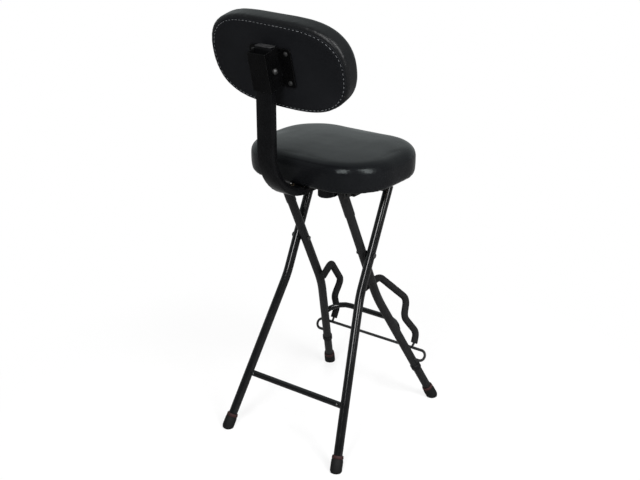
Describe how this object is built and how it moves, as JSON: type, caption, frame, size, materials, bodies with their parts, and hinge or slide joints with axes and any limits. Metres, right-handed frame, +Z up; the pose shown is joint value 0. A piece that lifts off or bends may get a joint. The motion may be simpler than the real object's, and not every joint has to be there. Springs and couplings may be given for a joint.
{
  "type": "folding guitar stool",
  "caption": "Tall folding stool with a padded seat, a padded backrest on a bent post, a footrest bar and a fold-out guitar cradle on crossed tube legs.",
  "frame": {"origin": "on the floor, midway between the four feet", "axes": "+Z up; the sitter faces -Y and the backrest stands on the +Y side; +X is the sitter's left"},
  "size_m": [0.3276, 0.4436, 0.9169],
  "materials": {
    "gloss_black": "glossy black enamel",
    "satin_black": "satin black powder coat",
    "black_oxide": "blackened steel wire",
    "zinc": "bright zinc plated",
    "rubber": "matte black rubber",
    "vinyl": "glossy black vinyl",
    "cover_cloth": "matte black sheet vinyl with a stitched edge",
    "foam": "matte black closed-cell foam",
    "plywood": "plain plywood",
    "nylon": "moulded black plastic"
  },
  "bodies": {
    "rear_frame": {"rear_leg_left": "gloss_black", "rear_leg_right": "gloss_black", "rear_foot_left": "rubber", "rear_foot_right": "rubber", "crossbar_rivet_left": "zinc", "crossbar_rivet_right": "zinc", "frame_pivot_bolt_left": "zinc", "frame_pivot_bolt_right": "zinc", "frame_pivot_washer_left": "nylon", "frame_pivot_washer_right": "nylon", "frame_pivot_nut_left": "zinc", "frame_pivot_nut_right": "zinc", "rear_top_bar": "gloss_black", "rear_crossbar": "gloss_black"},
    "front_frame": {"front_leg_left": "satin_black", "front_leg_right": "satin_black", "front_leg_extension_left": "satin_black", "front_leg_extension_right": "satin_black", "front_leg_collar_left": "nylon", "front_leg_collar_right": "nylon", "front_leg_cap_left": "satin_black", "front_leg_cap_right": "satin_black", "front_foot_left": "rubber", "front_foot_right": "rubber", "footrest_bar": "gloss_black"},
    "seat": {"seat_cushion": "vinyl", "seat_board": "plywood", "seat_plate": "satin_black", "post_receiver": "satin_black", "seat_screw_front_left": "zinc", "seat_screw_front_right": "zinc", "seat_screw_rear_left": "zinc", "seat_screw_rear_right": "zinc", "hinge_bracket_left": "satin_black", "hinge_bracket_right": "satin_black", "hinge_bolt_left": "zinc", "hinge_bolt_right": "zinc", "seat_rail_left": "nylon", "seat_rail_right": "nylon"},
    "clamp": {"clamp_knob": "nylon", "clamp_screw": "black_oxide"},
    "post": {"backrest_post": "gloss_black", "post_plug": "nylon"},
    "backrest": {"back_cushion": "vinyl", "back_board": "plywood", "back_cover": "cover_cloth", "back_plate": "satin_black", "tilt_bracket": "satin_black", "tilt_bolt": "zinc", "tilt_nut": "zinc", "back_bolt_upper_left": "zinc", "back_bolt_upper_right": "zinc", "back_bolt_lower_left": "zinc", "back_bolt_lower_right": "zinc"},
    "cradle": {"cradle_wire": "black_oxide", "cradle_arm_left": "black_oxide", "cradle_arm_right": "black_oxide", "cradle_foam_left": "foam", "cradle_foam_right": "foam"}
  },
  "joints": [
    {"name": "frame_fold", "type": "hinge", "parent": "rear_frame", "child": "front_frame", "pos_m": [0, 0, 0.404], "axis": [1, 0, 0], "range_deg": [0, 40]},
    {"name": "seat_hinge", "type": "hinge", "parent": "front_frame", "child": "seat", "pos_m": [0, 0.07262, 0.5568], "axis": [1, 0, 0], "range_deg": [-100, 0]},
    {"name": "clamp_knob_turn", "type": "hinge", "parent": "seat", "child": "clamp", "pos_m": [0, 0.0243, 0.5478], "axis": [0, 0, 1], "range_deg": [-720, 720]},
    {"name": "backrest_slide", "type": "slide", "parent": "seat", "child": "post", "axis": [0, 1, 0], "range_m": [-0.003, 0.055]},
    {"name": "backrest_tilt", "type": "hinge", "parent": "post", "child": "backrest", "pos_m": [0, 0.21347, 0.81803], "axis": [1, 0, 0], "range_deg": [0, 14]},
    {"name": "cradle_fold", "type": "hinge", "parent": "front_frame", "child": "cradle", "pos_m": [0, -0.13915, 0.1112], "axis": [1, 0, 0], "range_deg": [0, 84]}
  ],
  "couplings": [
    {"joint": "seat_hinge", "follows": "frame_fold", "ratio": -2.5}
  ]
}
